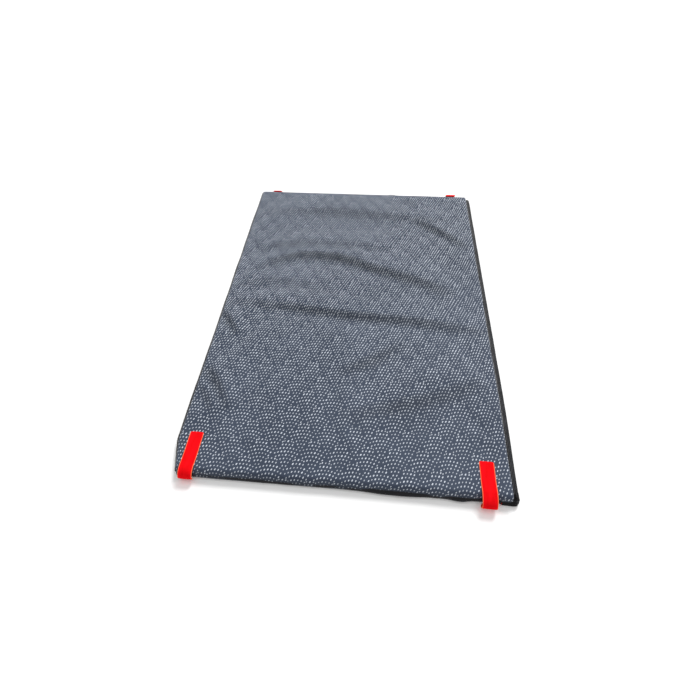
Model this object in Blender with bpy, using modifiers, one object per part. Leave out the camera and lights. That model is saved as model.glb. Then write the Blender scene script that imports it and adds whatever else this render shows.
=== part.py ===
"""Infrared sauna blanket, closed and lying flat.

A lower panel rests on the floor and an upper panel lies on it. They are sewn together along the piped
seam at -X, which is the hinge line of the upper panel. Each panel is a sewn pad: outer cover, wadding,
reflective foil, heating cable, carrier felt and lining, with its own inlet at the head end (+Y). Four
hook-and-loop straps are sewn to the upper panel and fasten on patches on the lower panel's end faces.
Metres, +Z up. The origin is at the middle of the underside.
"""

import math

import bmesh
import bpy
from mathutils import Matrix, Vector

# Whole blanket
LENGTH = 1.80
WIDTH = 1.14
UPPER_SIDE_INSET = 0.014
UPPER_END_INSET = 0.004
CORNER_RADIUS = 0.012
EDGE_RADIUS = 0.004
CORNER_SEGMENTS = 3
EDGE_SEGMENTS = 2
CLEARANCE = 0.0003

# Layers of a panel, from its outer face to its inner face
COVER_THICK = 0.001
WADDING_THICK = 0.0118
FOIL_THICK = 0.0006
CABLE_DIAMETER = 0.0024
FELT_THICK = 0.002
LINING_THICK = 0.001

# Piped seam that joins the panels
PIPING_DIAMETER = 0.006
PIPING_END_MARGIN = 0.010

# Hook-and-loop strips inside the open long side
CLOSURE_THICK = 0.00125
CLOSURE_WIDTH = 0.030
CLOSURE_EDGE_MARGIN = 0.008
CLOSURE_END_MARGIN = 0.030

# Heating cable
CABLE_RUNS = 14
CABLE_SIDE_MARGIN = 0.045
CABLE_FOOT_MARGIN = 0.045
CABLE_TURN_MARGIN = 0.058
CABLE_TAIL_MARGIN = 0.048
TURN_POINTS = 6

# Thermal cut-outs, sensor and leads
CUTOUT_WIDTH = 0.006
CUTOUT_LENGTH = 0.012
SENSOR_DIAMETER = 0.0022
SENSOR_LENGTH = 0.007
SENSOR_FROM_END = 0.300
LEAD_DIAMETER = 0.0018
LEAD_END_MARGIN = 0.0245
LEAD_BEND = 0.003
BEND_POINTS = 4

# Inlet in the head end of a panel
INLET_BLOCK_WIDTH = 0.018
INLET_BLOCK_HEIGHT = 0.0106
INLET_BLOCK_DEPTH = 0.015
FLANGE_WIDTH = 0.036
FLANGE_EDGE_MARGIN = 0.001
FLANGE_THICK = 0.002
CLAMP_THICK = 0.0012
SOCKET_DIAMETER = 0.0086
SOCKET_DEPTH = 0.011
PIN_DIAMETER = 0.0014
PIN_HOLE_DIAMETER = 0.0018
PIN_SPACING = 0.0026
PIN_REACH = 0.006
PIN_TAIL = 0.0005
RIVET_SPACING = 0.027
RIVET_SHANK_DIAMETER = 0.0024
RIVET_HOLE_DIAMETER = 0.003
RIVET_HEAD_DIAMETER = 0.0048
RIVET_HEAD_THICK = 0.0009
ROUND_SIDES = 16
FINE_SIDES = 12

# Straps
FOOT, HEAD = -1, 1
SEAM_SIDE, OPEN_SIDE = -1, 1
FAR_TAB_LENGTH = 0.012
STRAP_PLACES = (
    # name, end, side, distance from that side to the strap's middle, tab length, bulge
    ("strap_near_left", FOOT, SEAM_SIDE, 0.052, 0.165, 0.010),
    ("strap_near_right", FOOT, OPEN_SIDE, 0.074, 0.124, 0.024),
    ("strap_far_left", HEAD, SEAM_SIDE, 0.081, FAR_TAB_LENGTH, 0.012),
    ("strap_far_right", HEAD, OPEN_SIDE, 0.084, FAR_TAB_LENGTH, 0.024),
)
STRAP_WIDTH = 0.048
STRAP_THICK = 0.002
STRAP_BEND_START = 0.006
STRAP_BOTTOM = 0.004
STRAP_TIP_GAP = 0.001
PIVOT_ANGLE = math.radians(55)
ARC_POINTS = 8
PATCH_THICK = 0.0014
PATCH_HEIGHT = 0.012

TINY = 1e-6

LAYERS = (
    ("cover", COVER_THICK),
    ("wadding", WADDING_THICK),
    ("foil", FOIL_THICK),
    ("cable", CABLE_DIAMETER),
    ("felt", FELT_THICK),
    ("lining", LINING_THICK),
)


def layer_depths():
    """Each layer's outer and inner depth, measured from the outer face of its panel."""
    depths = {}
    depth = 0.0
    for layer, thickness in LAYERS:
        depths[layer] = (depth, depth + thickness)
        depth += thickness + CLEARANCE
    return depths


DEPTHS = layer_depths()
PANEL_THICK = DEPTHS["lining"][1]
PANEL_GAP = 2 * CLOSURE_THICK + 3 * CLEARANCE
HINGE_X = -WIDTH / 2 + PIPING_DIAMETER / 2
HINGE_Z = PANEL_THICK + PANEL_GAP / 2
TOP_Z = 2 * PANEL_THICK + PANEL_GAP
PANEL_LEFT = HINGE_X + PIPING_DIAMETER / 2 + CLEARANCE
INLET_DEPTH_IN_PANEL = (EDGE_RADIUS + PANEL_THICK) / 2
FLANGE_HEIGHT = PANEL_THICK - EDGE_RADIUS - 2 * FLANGE_EDGE_MARGIN
CLAMP_HEIGHT = 2 * (DEPTHS["lining"][0] - CLEARANCE - INLET_DEPTH_IN_PANEL)


class Panel:
    """The size and place of one panel. Depths run inwards from its outer face."""

    def __init__(self, name, outer_z, inward, right, half_length, inlet_channel):
        self.name = name
        self.outer_z = outer_z
        self.inward = inward
        self.left = PANEL_LEFT
        self.right = right
        self.half_length = half_length
        self.cable_left = self.left + CABLE_SIDE_MARGIN
        self.cable_pitch = (self.right - CABLE_SIDE_MARGIN - self.cable_left) / (CABLE_RUNS - 1)
        self.inlet_x = self.cable_left + (2 * inlet_channel + 0.5) * self.cable_pitch

    def z(self, depth):
        return self.outer_z + self.inward * depth

    def levels(self, outer_depth, inner_depth):
        """The lower and upper Z of a slice of the panel."""
        return sorted((self.z(outer_depth), self.z(inner_depth)))

    def cable_z(self):
        return self.z(sum(DEPTHS["cable"]) / 2)


class Strap:
    """One strap: its end of the blanket, its place across the width, its tab and its bulge."""

    def __init__(self, name, end, side, inset, tab_length, bulge):
        self.name = name
        self.end = end
        self.centre_x = UPPER.left + inset if side == SEAM_SIDE else UPPER.right - inset
        self.tab_length = tab_length
        self.reach = bulge + STRAP_BEND_START
        self.top = TOP_Z + CLEARANCE + STRAP_THICK / 2
        self.middle = (self.top + STRAP_BOTTOM + STRAP_THICK / 2) / 2
        self.half_height = self.top - self.middle
        tip = PATCH_THICK + CLEARANCE + STRAP_TIP_GAP + STRAP_THICK / 2
        self.tip_angle = -math.acos((tip + STRAP_BEND_START) / self.reach)

    def point(self, angle):
        """A point of the tape's middle line: outward distance from the end face, and height."""
        outward = self.reach * math.cos(angle) - STRAP_BEND_START
        return Vector((outward, self.middle + self.half_height * math.sin(angle)))

    def outward_normal(self, angle):
        normal = (self.half_height * math.cos(angle), self.reach * math.sin(angle))
        return Vector(normal).normalized()

    def pivot(self):
        """The peel axis, just off the outer face of the tape."""
        offset = STRAP_THICK / 2 + CLEARANCE / 2
        return self.point(PIVOT_ANGLE) + offset * self.outward_normal(PIVOT_ANGLE)

    def matrix(self):
        """Turns the flat outline's (outward, up) plane upright at the strap's end and place."""
        columns = Matrix(((0, 0, self.end), (self.end, 0, 0), (0, 1, 0))).to_4x4()
        return Matrix.Translation((self.centre_x, self.end * LENGTH / 2, 0)) @ columns


LOWER = Panel("lower", 0.0, 1, WIDTH / 2, LENGTH / 2, 5)
UPPER = Panel(
    "upper", TOP_Z, -1, WIDTH / 2 - UPPER_SIDE_INSET, LENGTH / 2 - UPPER_END_INSET, 4
)
STRAPS = tuple(Strap(*place) for place in STRAP_PLACES)


# Scene


def clear_scene():
    for thing in list(bpy.data.objects):
        bpy.data.objects.remove(thing)


def new_collection(name):
    collection = bpy.data.collections.new(name)
    bpy.context.scene.collection.children.link(collection)
    return collection


def new_material(name, colour, roughness, metallic=0.0):
    material = bpy.data.materials.new(name)
    material.use_nodes = True
    shader = material.node_tree.nodes["Principled BSDF"]
    shader.inputs["Base Color"].default_value = (*colour, 1.0)
    shader.inputs["Roughness"].default_value = roughness
    shader.inputs["Metallic"].default_value = metallic
    return material


clear_scene()
PARTS = new_collection("infrared_sauna_blanket")
CUTTERS = new_collection("cutters")

PRINT = new_material("dotted_fabric", (0.085, 0.105, 0.155), 0.85)
BLACK_CLOTH = new_material("black_nylon", (0.012, 0.012, 0.013), 0.55)
RED_TAPE = new_material("red_loop_tape", (0.85, 0.01, 0.012), 0.95)
HOOK_TAPE = new_material("black_hook_tape", (0.015, 0.015, 0.016), 0.8)
WADDING = new_material("white_wadding", (0.80, 0.79, 0.76), 1.0)
FOIL = new_material("reflective_foil", (0.85, 0.86, 0.88), 0.25, 1.0)
CABLE = new_material("heating_cable_jacket", (0.62, 0.22, 0.05), 0.5)
FELT = new_material("carrier_felt", (0.30, 0.30, 0.31), 1.0)
LINING = new_material("waterproof_lining", (0.045, 0.045, 0.050), 0.45)
PLASTIC = new_material("black_plastic", (0.018, 0.018, 0.019), 0.4)
LEAD = new_material("lead_jacket", (0.70, 0.70, 0.68), 0.45)
BRASS = new_material("brass", (0.72, 0.52, 0.22), 0.3, 1.0)
STEEL = new_material("rivet_steel", (0.62, 0.62, 0.63), 0.35, 1.0)


# Modelling tools


def add_object(name, data, material, parent=None):
    thing = bpy.data.objects.new(name, data)
    PARTS.objects.link(thing)
    data.materials.append(material)
    if parent is not None:
        thing.parent = parent
        thing.matrix_parent_inverse = Matrix.Translation(-parent.location)
    return thing


def mesh_from(shape, name):
    mesh = bpy.data.meshes.new(name)
    shape.to_mesh(mesh)
    shape.free()
    return mesh


def bevel(shape, edges, offset, segments):
    bmesh.ops.bevel(
        shape,
        geom=edges,
        offset=offset,
        segments=segments,
        profile=0.5,
        affect="EDGES",
        material=-1,
    )


def box_shape(low, high):
    low = Vector(low)
    high = Vector(high)
    shape = bmesh.new()
    bmesh.ops.create_cube(shape, size=1.0)
    bmesh.ops.scale(shape, vec=high - low, verts=shape.verts)
    bmesh.ops.translate(shape, vec=(low + high) / 2, verts=shape.verts)
    return shape


def rounded_slab(low, high, corner_radius, edge_radius=0.0, rounded_z=None):
    """A box with rounded plan corners and, at the height rounded_z, a rounded rim."""
    shape = box_shape(low, high)
    upright = [e for e in shape.edges if abs(e.verts[0].co.z - e.verts[1].co.z) > TINY]
    bevel(shape, upright, corner_radius, CORNER_SEGMENTS)
    if rounded_z is not None:
        rim = [e for e in shape.edges if all(abs(v.co.z - rounded_z) < TINY for v in e.verts)]
        bevel(shape, rim, edge_radius, EDGE_SEGMENTS)
    return shape


def cylinder_along_y(diameter, low_y, high_y, x, z, sides):
    shape = bmesh.new()
    turned = Matrix.Translation((x, (low_y + high_y) / 2, z)) @ Matrix.Rotation(math.pi / 2, 4, "X")
    bmesh.ops.create_cone(
        shape,
        cap_ends=True,
        segments=sides,
        radius1=diameter / 2,
        radius2=diameter / 2,
        depth=high_y - low_y,
        matrix=turned,
    )
    return shape


def add_helper(name, shape):
    """A hidden solid that a Boolean modifier cuts or joins with."""
    helper = bpy.data.objects.new(name, mesh_from(shape, name))
    CUTTERS.objects.link(helper)
    helper.hide_render = True
    helper.display_type = "WIRE"
    return helper


def combine(thing, helpers, operation="DIFFERENCE"):
    for helper in helpers:
        modifier = thing.modifiers.new(helper.name, "BOOLEAN")
        modifier.operation = operation
        modifier.object = helper


def tube(name, points, diameter, material, parent=None):
    curve = bpy.data.curves.new(name, "CURVE")
    curve.dimensions = "3D"
    curve.bevel_depth = diameter / 2
    curve.bevel_resolution = 2
    curve.use_fill_caps = True
    spline = curve.splines.new("POLY")
    spline.points.add(len(points) - 1)
    for place, point in zip(spline.points, points):
        place.co = (*point, 1.0)
    return add_object(name, curve, material, parent)


def bent_route(corners, bend):
    """A route through the corners, with each inner corner eased into a short curve."""
    corners = [Vector(corner) for corner in corners]
    route = [corners[0]]
    for before, corner, after in zip(corners, corners[1:], corners[2:]):
        start = corner + bend * (before - corner).normalized()
        end = corner + bend * (after - corner).normalized()
        for step in range(BEND_POINTS + 1):
            t = step / BEND_POINTS
            route.append((1 - t) ** 2 * start + 2 * t * (1 - t) * corner + t * t * end)
    route.append(corners[-1])
    return route


def flat_outline(name, points, thickness, material, parent=None):
    """A closed outline in its own XY plane, thickened evenly along its own Z."""
    curve = bpy.data.curves.new(name, "CURVE")
    curve.dimensions = "2D"
    curve.fill_mode = "BOTH"
    curve.extrude = thickness / 2
    spline = curve.splines.new("POLY")
    spline.points.add(len(points) - 1)
    for place, point in zip(spline.points, points):
        place.co = (point[0], point[1], 0.0, 1.0)
    spline.use_cyclic_u = True
    return add_object(name, curve, material, parent)


# Inlet


def inlet_places(panel):
    """Y of the inlet's flange, block back and socket floor, and its Z."""
    flange_inner = panel.half_length + CLEARANCE
    flange_outer = flange_inner + FLANGE_THICK
    return {
        "flange_inner": flange_inner,
        "flange_outer": flange_outer,
        "back": panel.half_length - INLET_BLOCK_DEPTH,
        "floor": flange_outer - SOCKET_DEPTH,
        "z": panel.z(INLET_DEPTH_IN_PANEL),
    }


def centred_box(x, width, low_y, high_y, z, height):
    return box_shape(
        (x - width / 2, low_y, z - height / 2), (x + width / 2, high_y, z + height / 2)
    )


def rivet_columns(panel):
    return (panel.inlet_x - RIVET_SPACING / 2, panel.inlet_x + RIVET_SPACING / 2)


def rivet_hole_cutters(panel):
    y = inlet_places(panel)
    low_y = panel.half_length - COVER_THICK - 2 * CLEARANCE - CLAMP_THICK - CLEARANCE
    high_y = y["flange_outer"] + CLEARANCE
    cutters = []
    for index, x in enumerate(rivet_columns(panel), 1):
        hole = cylinder_along_y(RIVET_HOLE_DIAMETER, low_y, high_y, x, y["z"], FINE_SIDES)
        cutters.append(add_helper(f"{panel.name}_rivet_hole_{index}", hole))
    return cutters


def aperture_cutter(panel):
    """The window that the inlet block passes through in the cover and in the clamp plate."""
    y = inlet_places(panel)
    window = centred_box(
        panel.inlet_x,
        INLET_BLOCK_WIDTH + 2 * CLEARANCE,
        y["back"] - CLEARANCE,
        y["flange_outer"] + CLEARANCE,
        y["z"],
        INLET_BLOCK_HEIGHT + 2 * CLEARANCE,
    )
    return add_helper(f"{panel.name}_inlet_window", window)


def notch_cutter(panel):
    """Room for the inlet and its leads in the wadding, the foil and the felt."""
    low_z, high_z = panel.levels(COVER_THICK, DEPTHS["lining"][0])
    half_width = FLANGE_WIDTH / 2 + CLEARANCE
    low_y = panel.half_length - LEAD_END_MARGIN - LEAD_BEND
    notch = box_shape(
        (panel.inlet_x - half_width, low_y, low_z),
        (panel.inlet_x + half_width, panel.half_length, high_z),
    )
    return add_helper(f"{panel.name}_inlet_notch", notch)


def pin_columns(panel):
    return [panel.inlet_x + side * PIN_SPACING for side in (-1, 0, 1)]


def make_inlet_housing(panel, rivet_holes, parent):
    y = inlet_places(panel)
    name = f"{panel.name}_inlet_housing"
    block = centred_box(
        panel.inlet_x, INLET_BLOCK_WIDTH, y["back"], y["flange_outer"], y["z"], INLET_BLOCK_HEIGHT
    )
    housing = add_object(name, mesh_from(block, name), PLASTIC, parent)
    flange = centred_box(
        panel.inlet_x, FLANGE_WIDTH, y["flange_inner"], y["flange_outer"], y["z"], FLANGE_HEIGHT
    )
    combine(housing, [add_helper(f"{name}_flange", flange)], "UNION")
    socket = cylinder_along_y(
        SOCKET_DIAMETER, y["floor"], y["flange_outer"] + CLEARANCE, panel.inlet_x, y["z"], ROUND_SIDES
    )
    cutters = [add_helper(f"{name}_socket", socket)]
    for index, x in enumerate(pin_columns(panel), 1):
        hole = cylinder_along_y(
            PIN_HOLE_DIAMETER, y["back"] - CLEARANCE, y["floor"] + CLEARANCE, x, y["z"], FINE_SIDES
        )
        cutters.append(add_helper(f"{name}_pin_hole_{index}", hole))
    combine(housing, cutters + rivet_holes)


def make_contact_pins(panel, parent):
    y = inlet_places(panel)
    for index, x in enumerate(pin_columns(panel), 1):
        name = f"{panel.name}_contact_pin_{index}"
        pin = cylinder_along_y(
            PIN_DIAMETER, y["back"] - PIN_TAIL, y["floor"] + PIN_REACH, x, y["z"], FINE_SIDES
        )
        add_object(name, mesh_from(pin, name), BRASS, parent)


def make_clamp_plate(panel, cutters, parent):
    name = f"{panel.name}_clamp_plate"
    high_y = panel.half_length - COVER_THICK - CLEARANCE
    plate = centred_box(
        panel.inlet_x,
        FLANGE_WIDTH,
        high_y - CLAMP_THICK,
        high_y,
        inlet_places(panel)["z"],
        CLAMP_HEIGHT,
    )
    combine(add_object(name, mesh_from(plate, name), STEEL, parent), cutters)


def make_rivets(panel, parent):
    """Each rivet is turned about the axis of its shank, then laid along Y."""
    y = inlet_places(panel)
    head_seat = y["flange_outer"] + CLEARANCE
    tail_seat = panel.half_length - COVER_THICK - 2 * CLEARANCE - CLAMP_THICK - CLEARANCE
    half_grip = (head_seat - tail_seat) / 2
    half_length = half_grip + RIVET_HEAD_THICK
    head = RIVET_HEAD_DIAMETER / 2
    shank = RIVET_SHANK_DIAMETER / 2
    profile = (
        (0, half_length),
        (head * 0.6, half_length),
        (head, half_grip),
        (shank, half_grip),
        (shank, -half_grip),
        (head, -half_grip),
        (head * 0.6, -half_length),
        (0, -half_length),
    )
    for index, x in enumerate(rivet_columns(panel), 1):
        name = f"{panel.name}_inlet_rivet_{index}"
        shape = bmesh.new()
        points = [shape.verts.new((radius, 0, height)) for radius, height in profile]
        for first, second in zip(points, points[1:]):
            shape.edges.new((first, second))
        rivet = add_object(name, mesh_from(shape, name), STEEL, parent)
        rivet.location = (x, (head_seat + tail_seat) / 2, y["z"])
        rivet.rotation_euler = (-math.pi / 2, 0, 0)
        screw = rivet.modifiers.new("turned", "SCREW")
        screw.steps = FINE_SIDES
        screw.render_steps = FINE_SIDES
        screw.use_merge_vertices = True
        screw.merge_threshold = 0.00001


# Panel layers


def layer_corners(panel, layer, side_gap):
    """Low and high corners of a layer that stops side_gap short of the panel's outside."""
    low_z, high_z = panel.levels(*DEPTHS[layer])
    low = (panel.left + side_gap, -panel.half_length + side_gap, low_z)
    high = (panel.right - side_gap, panel.half_length - side_gap, high_z)
    return low, high


def make_cover(panel, cutters, material, parent):
    """An open tray of cloth. The lining closes it."""
    name = f"{panel.name}_cover"
    low_z, high_z = panel.levels(0.0, PANEL_THICK)
    shape = rounded_slab(
        (panel.left, -panel.half_length, low_z),
        (panel.right, panel.half_length, high_z),
        CORNER_RADIUS,
        EDGE_RADIUS,
        panel.outer_z,
    )
    mouth = panel.z(PANEL_THICK)
    faces = [f for f in shape.faces if all(abs(v.co.z - mouth) < TINY for v in f.verts)]
    bmesh.ops.delete(shape, geom=faces, context="FACES")
    cover = add_object(name, mesh_from(shape, name), material, parent)
    skin = cover.modifiers.new("cloth", "SOLIDIFY")
    skin.thickness = COVER_THICK
    skin.offset = -1.0
    skin.use_even_offset = True
    combine(cover, cutters)


def make_wadding(panel, notch, parent):
    name = f"{panel.name}_wadding"
    inset = COVER_THICK + CLEARANCE
    low, high = layer_corners(panel, "wadding", inset)
    shape = rounded_slab(
        low, high, CORNER_RADIUS - inset, EDGE_RADIUS - inset, panel.z(DEPTHS["wadding"][0])
    )
    combine(add_object(name, mesh_from(shape, name), WADDING, parent), [notch])


def make_sheet(panel, layer, material, cutters, parent):
    """A flat layer: the foil, the felt or the lining."""
    name = f"{panel.name}_{layer}"
    inset = COVER_THICK + CLEARANCE
    low, high = layer_corners(panel, layer, inset)
    shape = rounded_slab(low, high, CORNER_RADIUS - inset)
    combine(add_object(name, mesh_from(shape, name), material, parent), cutters)


def cable_route(panel):
    """Straight runs along the panel, joined by half-round turns, with both tails at the head end."""
    radius = panel.cable_pitch / 2
    foot = -panel.half_length + CABLE_FOOT_MARGIN + radius
    head = panel.half_length - CABLE_TURN_MARGIN - radius
    tail = panel.half_length - CABLE_TAIL_MARGIN
    z = panel.cable_z()
    route = [(panel.cable_left, tail, z)]
    for turn in range(CABLE_RUNS - 1):
        at_foot = turn % 2 == 0
        centre_x = panel.cable_left + (turn + 0.5) * panel.cable_pitch
        for step in range(TURN_POINTS):
            angle = math.pi * step / (TURN_POINTS - 1)
            bow = radius * math.sin(angle)
            y = foot - bow if at_foot else head + bow
            route.append((centre_x - radius * math.cos(angle), y, z))
    route.append((panel.cable_left + (CABLE_RUNS - 1) * panel.cable_pitch, tail, z))
    return route


def cable_tails(panel):
    return (panel.cable_left, panel.cable_left + (CABLE_RUNS - 1) * panel.cable_pitch)


def make_cutouts(panel, parent):
    """A thermal cut-out at each tail of the cable."""
    low_y = panel.half_length - CABLE_TAIL_MARGIN + CLEARANCE
    for index, x in enumerate(cable_tails(panel), 1):
        name = f"{panel.name}_thermal_cutout_{index}"
        shape = centred_box(
            x, CUTOUT_WIDTH, low_y, low_y + CUTOUT_LENGTH, panel.cable_z(), CABLE_DIAMETER
        )
        add_object(name, mesh_from(shape, name), PLASTIC, parent)


def make_leads(panel, parent):
    """Two supply leads to the cut-outs, and the sensor lead between them."""
    y = inlet_places(panel)
    start_y = y["back"] - PIN_TAIL - CLEARANCE
    side_y = panel.half_length - LEAD_END_MARGIN
    cutout_y = panel.half_length - CABLE_TAIL_MARGIN + 2 * CLEARANCE + CUTOUT_LENGTH
    pins = pin_columns(panel)
    z = panel.cable_z()
    for label, pin_x, tail_x in zip(("return", "live"), pins[::2], cable_tails(panel)):
        corners = (
            (pin_x, start_y, y["z"]),
            (pin_x, side_y, z),
            (tail_x, side_y, z),
            (tail_x, cutout_y, z),
        )
        route = bent_route(corners, LEAD_BEND)
        tube(f"{panel.name}_{label}_lead", route, LEAD_DIAMETER, LEAD, parent)
    sensor_y = panel.half_length - SENSOR_FROM_END
    corners = (
        (pins[1], start_y, y["z"]),
        (pins[1], side_y, z),
        (pins[1], sensor_y + CLEARANCE, z),
    )
    route = bent_route(corners, LEAD_BEND)
    tube(f"{panel.name}_sensor_lead", route, LEAD_DIAMETER, LEAD, parent)
    name = f"{panel.name}_temperature_sensor"
    bead = cylinder_along_y(
        SENSOR_DIAMETER, sensor_y - SENSOR_LENGTH, sensor_y, pins[1], z, FINE_SIDES
    )
    add_object(name, mesh_from(bead, name), STEEL, parent)


def make_closure_strip(panel, material, name, parent):
    """Half of the hook-and-loop closure, on the lining along the open long side."""
    outer = PANEL_THICK + CLEARANCE
    low_z, high_z = panel.levels(outer, outer + CLOSURE_THICK)
    right = UPPER.right - CLOSURE_EDGE_MARGIN
    half_length = UPPER.half_length - CLOSURE_END_MARGIN
    shape = box_shape((right - CLOSURE_WIDTH, -half_length, low_z), (right, half_length, high_z))
    add_object(name, mesh_from(shape, name), material, parent)


def make_panel(panel, cover_material, parent):
    rivet_holes = rivet_hole_cutters(panel)
    window = aperture_cutter(panel)
    notch = notch_cutter(panel)
    make_cover(panel, [window, *rivet_holes], cover_material, parent)
    make_wadding(panel, notch, parent)
    make_sheet(panel, "foil", FOIL, [notch], parent)
    make_sheet(panel, "felt", FELT, [notch], parent)
    make_sheet(panel, "lining", LINING, [], parent)
    tube(f"{panel.name}_heating_cable", cable_route(panel), CABLE_DIAMETER, CABLE, parent)
    make_cutouts(panel, parent)
    make_leads(panel, parent)
    make_inlet_housing(panel, rivet_holes, parent)
    make_contact_pins(panel, parent)
    make_clamp_plate(panel, [window, *rivet_holes], parent)
    make_rivets(panel, parent)


def make_seam_piping():
    end = LENGTH / 2 - PIPING_END_MARGIN
    points = ((HINGE_X, -end, HINGE_Z), (HINGE_X, end, HINGE_Z))
    tube("seam_piping", points, PIPING_DIAMETER, BLACK_CLOTH)


# Straps


def tape_outline(middle_line):
    """The closed outline of a tape of even thickness along (point, normal) pairs."""
    half = STRAP_THICK / 2
    outer = [point + half * normal for point, normal in middle_line]
    inner = [point - half * normal for point, normal in middle_line]
    return outer + inner[::-1]


def arc_line(strap, first, last):
    """Points and normals of the strap's bend from one angle to another, ends included."""
    line = []
    for step in range(ARC_POINTS + 1):
        angle = first + (last - first) * step / ARC_POINTS
        line.append((strap.point(angle), strap.outward_normal(angle)))
    return line


def angle_past_pivot(strap, side):
    """The angle half a clearance from the pivot, along the tape."""
    speed = math.hypot(
        strap.reach * math.sin(PIVOT_ANGLE), strap.half_height * math.cos(PIVOT_ANGLE)
    )
    return PIVOT_ANGLE + side * CLEARANCE / 2 / speed


def make_strap_tab(strap, parent):
    """The part of the strap that is sewn to the upper panel, up to the pivot."""
    start = Vector((-strap.tab_length, strap.top))
    line = [(start, Vector((0, 1)))]
    line += arc_line(strap, math.pi / 2, angle_past_pivot(strap, 1))
    tab = flat_outline(
        f"{strap.name}_tab", tape_outline(line), STRAP_WIDTH, RED_TAPE, parent
    )
    tab.matrix_basis = strap.matrix()


def make_strap_leg(strap, parent):
    """The free end of the strap. Its origin is on its peel axis."""
    pivot = strap.pivot()
    line = arc_line(strap, angle_past_pivot(strap, -1), strap.tip_angle)
    outline = [point - pivot for point in tape_outline(line)]
    leg = flat_outline(f"{strap.name}_leg", outline, STRAP_WIDTH, RED_TAPE, parent)
    leg.matrix_basis = strap.matrix() @ Matrix.Translation((*pivot, 0))


def make_strap_patch(strap):
    """The hook patch on the lower panel's end face, behind the strap's free end."""
    name = f"{strap.name}_patch"
    face = strap.end * (LENGTH / 2 + CLEARANCE)
    low_y, high_y = sorted((face, face + strap.end * PATCH_THICK))
    middle_z = (LOWER.z(EDGE_RADIUS) + LOWER.z(PANEL_THICK)) / 2
    shape = centred_box(strap.centre_x, STRAP_WIDTH, low_y, high_y, middle_z, PATCH_HEIGHT)
    add_object(name, mesh_from(shape, name), HOOK_TAPE)


def make_straps(hinge):
    for strap in STRAPS:
        make_strap_tab(strap, hinge)
        make_strap_leg(strap, hinge)
        make_strap_patch(strap)


# Assembly


def make_blanket():
    hinge = bpy.data.objects.new("upper_panel_hinge", None)
    hinge.location = (HINGE_X, 0, HINGE_Z)
    PARTS.objects.link(hinge)
    make_panel(LOWER, BLACK_CLOTH, None)
    make_panel(UPPER, PRINT, hinge)
    make_seam_piping()
    make_closure_strip(LOWER, HOOK_TAPE, "side_hook_strip", None)
    make_closure_strip(UPPER, HOOK_TAPE, "side_loop_strip", hinge)
    make_straps(hinge)


make_blanket()
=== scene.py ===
"""An infrared sauna blanket lying closed on a pale floor.

Two padded panels are joined along one long side and held together by red tapes.
"""

import math

import bmesh
import bpy
import numpy as np
from mathutils import Matrix, Vector, noise


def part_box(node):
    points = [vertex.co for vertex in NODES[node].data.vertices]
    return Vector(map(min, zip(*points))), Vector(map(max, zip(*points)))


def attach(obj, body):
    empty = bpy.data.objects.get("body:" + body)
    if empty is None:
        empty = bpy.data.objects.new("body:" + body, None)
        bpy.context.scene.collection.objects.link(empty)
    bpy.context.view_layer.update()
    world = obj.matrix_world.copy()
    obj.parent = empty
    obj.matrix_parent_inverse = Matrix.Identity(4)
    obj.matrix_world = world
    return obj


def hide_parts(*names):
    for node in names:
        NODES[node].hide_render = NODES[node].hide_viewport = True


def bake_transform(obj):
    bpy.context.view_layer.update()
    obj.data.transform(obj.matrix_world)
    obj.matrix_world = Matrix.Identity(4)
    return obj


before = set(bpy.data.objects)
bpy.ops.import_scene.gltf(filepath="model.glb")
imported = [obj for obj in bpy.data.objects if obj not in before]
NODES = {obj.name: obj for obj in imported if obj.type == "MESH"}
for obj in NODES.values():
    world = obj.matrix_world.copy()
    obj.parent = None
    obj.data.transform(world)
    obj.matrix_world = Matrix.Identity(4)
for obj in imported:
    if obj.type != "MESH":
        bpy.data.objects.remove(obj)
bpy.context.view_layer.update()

SCENE = bpy.context.scene

UPPER_LOW, UPPER_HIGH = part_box("upper_cover")
LOWER_LOW, LOWER_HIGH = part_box("lower_cover")
PIPING_LOW, PIPING_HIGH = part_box("seam_piping")
TOP = UPPER_HIGH.z
END = LOWER_HIGH.y
PANEL_THICK = UPPER_HIGH.z - UPPER_LOW.z
TURN_TO_Y = Matrix.Rotation(math.pi / 2, 3, "X")

# The print: fans of dots in offset rows, each fan spreading from a point towards the far end. Its dots
# are drawn out along a slant, more so towards the far end.
FAN_HALF_WIDTH = 0.0451
FAN_RISE = 0.0735
FAN_ASPECT = 1.053
RING_STEP = 0.01322
RING_PHASE = 0.084
DOT_SPACING = 0.0114
SMALL_DOT = 0.0021
LARGE_DOT = 0.0024
DOT_SLANT = math.radians(60)
DOT_STRETCH = (-0.9, 0.5, 1.5, 3.2)
DOT_NARROWING = (-0.6, 0.3, 1.25, 1.75)
FAN_MARGIN = 0.013
HEART_RADIUS = 0.0198
HEART_BREADTH = 0.0080
DOT_BLUR = 0.00025


def add(name, data):
    """A new object in the scene."""
    obj = bpy.data.objects.new(name, data)
    SCENE.collection.objects.link(obj)
    return obj


def add_mesh(name, bm):
    """A new object in the scene that holds the finished mesh."""
    mesh = bpy.data.meshes.new(name)
    bm.to_mesh(mesh)
    bm.free()
    return add(name, mesh)


# ---------------- nodes


def put(tree, socket, value):
    if isinstance(value, Wire):
        tree.links.new(value.socket, socket)
    else:
        socket.default_value = value


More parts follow.
